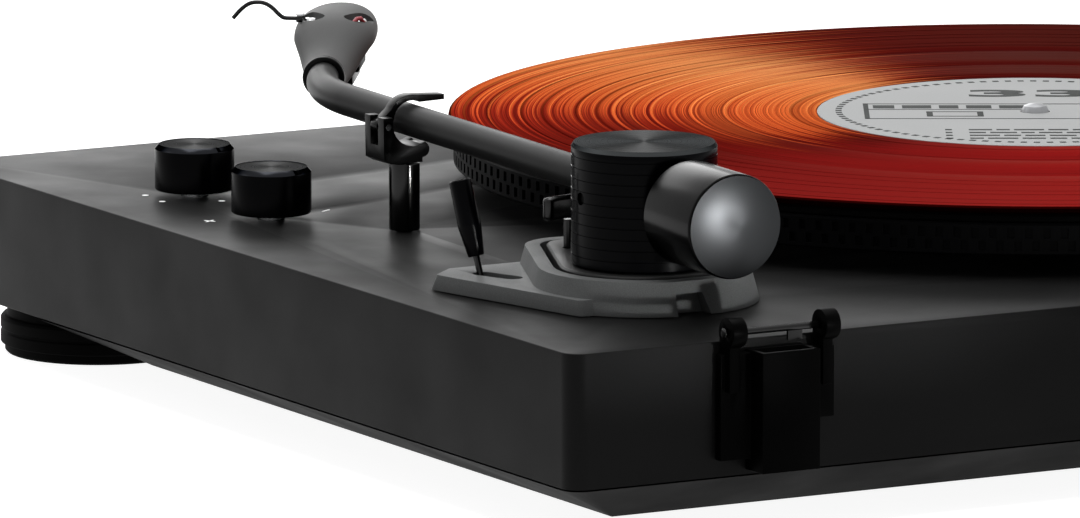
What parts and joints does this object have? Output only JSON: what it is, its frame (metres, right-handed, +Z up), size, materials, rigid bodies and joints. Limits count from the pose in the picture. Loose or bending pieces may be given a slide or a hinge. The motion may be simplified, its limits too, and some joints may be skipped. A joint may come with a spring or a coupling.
{
  "type": "turntable",
  "caption": "Belt-drive turntable with a bent arm tube, drum pivot, sliding counterweight, cue lever, arm rest with clip, knobs, lift-off record and rear cover hinges.",
  "frame": {"origin": "under the middle of the whole object, on the surface that the feet stand on", "axes": "+X is the right-hand side, where the arm is; +Y is the rear, where the hinges and sockets are; +Z is up"},
  "size_m": [0.42, 0.3408, 0.0922],
  "materials": {
    "plinth_wrap": "black vinyl wrap with a fine satin grain over fibreboard",
    "moulded_black": "fine matt texture",
    "foot_rubber": "matt",
    "platter_metal": "cast, painted satin black",
    "mat_rubber": "smooth matt",
    "record_vinyl": "translucent orange-red, grooved",
    "label_paper": "printed paper, light grey",
    "bright_steel": "turned",
    "brass": "turned",
    "black_anodised": "anodised black, turned",
    "arm_grey": "satin dark grey paint",
    "base_grey": "satin dark grey",
    "gloss_black": "polished",
    "gloss_painted": "gloss black",
    "satin_silver": "satin silver, domed",
    "board_green": "laminate"
  },
  "bodies": {
    "chassis": {"plinth": "plinth_wrap", "bottom_cover": "moulded_black", "front_foot_left": "foot_rubber", "front_foot_right": "foot_rubber", "rear_foot_left": "foot_rubber", "rear_foot_right": "foot_rubber", "bearing_housing": "brass", "drive_motor": "bright_steel", "drive_belt": "mat_rubber", "circuit_board": "board_green", "speed_switch": "moulded_black", "pitch_control": "moulded_black", "jack_panel": "moulded_black", "signal_jack_left": "brass", "signal_jack_right": "brass", "earth_post": "bright_steel", "power_socket": "moulded_black", "lift_cylinder": "brass", "lever_pin": "bright_steel", "bearing_post": "bright_steel", "arm_base": "base_grey", "pivot_plate": "base_grey", "rest_post": "gloss_painted", "rest_head": "gloss_black", "clip_pin": "bright_steel", "hinge_base_left": "moulded_black", "hinge_base_right": "moulded_black"},
    "platter_set": {"platter": "platter_metal", "sub_platter": "moulded_black", "slip_mat": "mat_rubber", "spindle": "bright_steel"},
    "record": {"record_disc": "record_vinyl", "record_label": "label_paper"},
    "pulley": {"motor_pulley": "brass"},
    "arm_yoke": {"pivot_housing": "black_anodised", "pivot_screw_left": "bright_steel", "pivot_screw_right": "bright_steel"},
    "arm": {"arm_tube": "arm_grey", "arm_collar": "gloss_black", "headshell": "arm_grey", "finger_lift": "gloss_painted", "cartridge": "moulded_black", "stylus_holder": "gloss_black", "cartridge_screw_left": "bright_steel", "cartridge_screw_right": "bright_steel", "weight_shaft": "bright_steel"},
    "balance_weight": {"counterweight": "gloss_painted", "counterweight_cap": "satin_silver"},
    "arm_clip": {"rest_clip": "gloss_black"},
    "cue_platform": {"lift_pin": "bright_steel", "lift_platform": "gloss_black"},
    "cue_handle": {"cue_lever": "gloss_painted", "lever_grip": "gloss_painted"},
    "selector": {"selector_knob": "black_anodised", "selector_shaft": "bright_steel"},
    "pitch": {"pitch_knob": "black_anodised", "pitch_shaft": "bright_steel"},
    "cover_holder_left": {"cover_rod_left": "gloss_painted"},
    "cover_holder_right": {"cover_rod_right": "gloss_painted"}
  },
  "joints": [
    {"name": "platter_spin", "type": "hinge", "parent": "chassis", "child": "platter_set", "pos_m": [-0.0208, -0.00525, 0.048], "axis": [0, 0, 1], "continuous": true},
    {"name": "motor_spin", "type": "hinge", "parent": "chassis", "child": "pulley", "pos_m": [-0.1089, 0.06867, 0.048], "axis": [0, 0, 1], "continuous": true},
    {"name": "record_lift", "type": "slide", "parent": "platter_set", "child": "record", "axis": [0, 0, 1], "range_m": [0, 0.008]},
    {"name": "arm_swing", "type": "hinge", "parent": "chassis", "child": "arm_yoke", "pos_m": [0.1558, 0.10165, 0.048], "axis": [0, 0, -1], "range_deg": [0, 36]},
    {"name": "arm_pitch", "type": "hinge", "parent": "arm_yoke", "child": "arm", "pos_m": [0.1558, 0.10165, 0.0742], "axis": [-1, 0, 0], "range_deg": [-0.5, 3.5]},
    {"name": "clip_open", "type": "hinge", "parent": "chassis", "child": "arm_clip", "pos_m": [0.1641, -0.01805, 0.07497], "axis": [0, 1, 0], "range_deg": [-8.5, 60]},
    {"name": "counterweight_slide", "type": "slide", "parent": "arm", "child": "balance_weight", "axis": [0, 0.9999, -0.014], "range_m": [-0.0025, 0.0035]},
    {"name": "cue_lever_turn", "type": "hinge", "parent": "chassis", "child": "cue_handle", "pos_m": [0.18276, 0.07236, 0.042], "axis": [-0.9205, -0.3907, 0], "range_deg": [0, 38]},
    {"name": "cue_platform_drop", "type": "slide", "parent": "chassis", "child": "cue_platform", "axis": [0, 0, 1], "range_m": [-0.0012, 0]},
    {"name": "selector_turn", "type": "hinge", "parent": "chassis", "child": "selector", "pos_m": [0.1786, -0.09005, 0.048], "axis": [0, 0, 1], "range_deg": [0, 90]},
    {"name": "pitch_turn", "type": "hinge", "parent": "chassis", "child": "pitch", "pos_m": [0.1786, -0.04845, 0.048], "axis": [0, 0, 1], "range_deg": [-140, 140]},
    {"name": "cover_holder_left_turn", "type": "hinge", "parent": "chassis", "child": "cover_holder_left", "pos_m": [-0.1552, 0.16635, 0.0507], "axis": [1, 0, 0], "range_deg": [0, 75]},
    {"name": "cover_holder_right_turn", "type": "hinge", "parent": "chassis", "child": "cover_holder_right", "pos_m": [0.1552, 0.16635, 0.0507], "axis": [1, 0, 0], "range_deg": [0, 75]}
  ],
  "couplings": [
    {"joint": "motor_spin", "follows": "platter_spin", "ratio": 15.5},
    {"joint": "clip_open", "follows": "arm_pitch", "ratio": 16},
    {"joint": "cue_platform_drop", "follows": "cue_lever_turn", "m_per_rad": -0.0018}
  ]
}
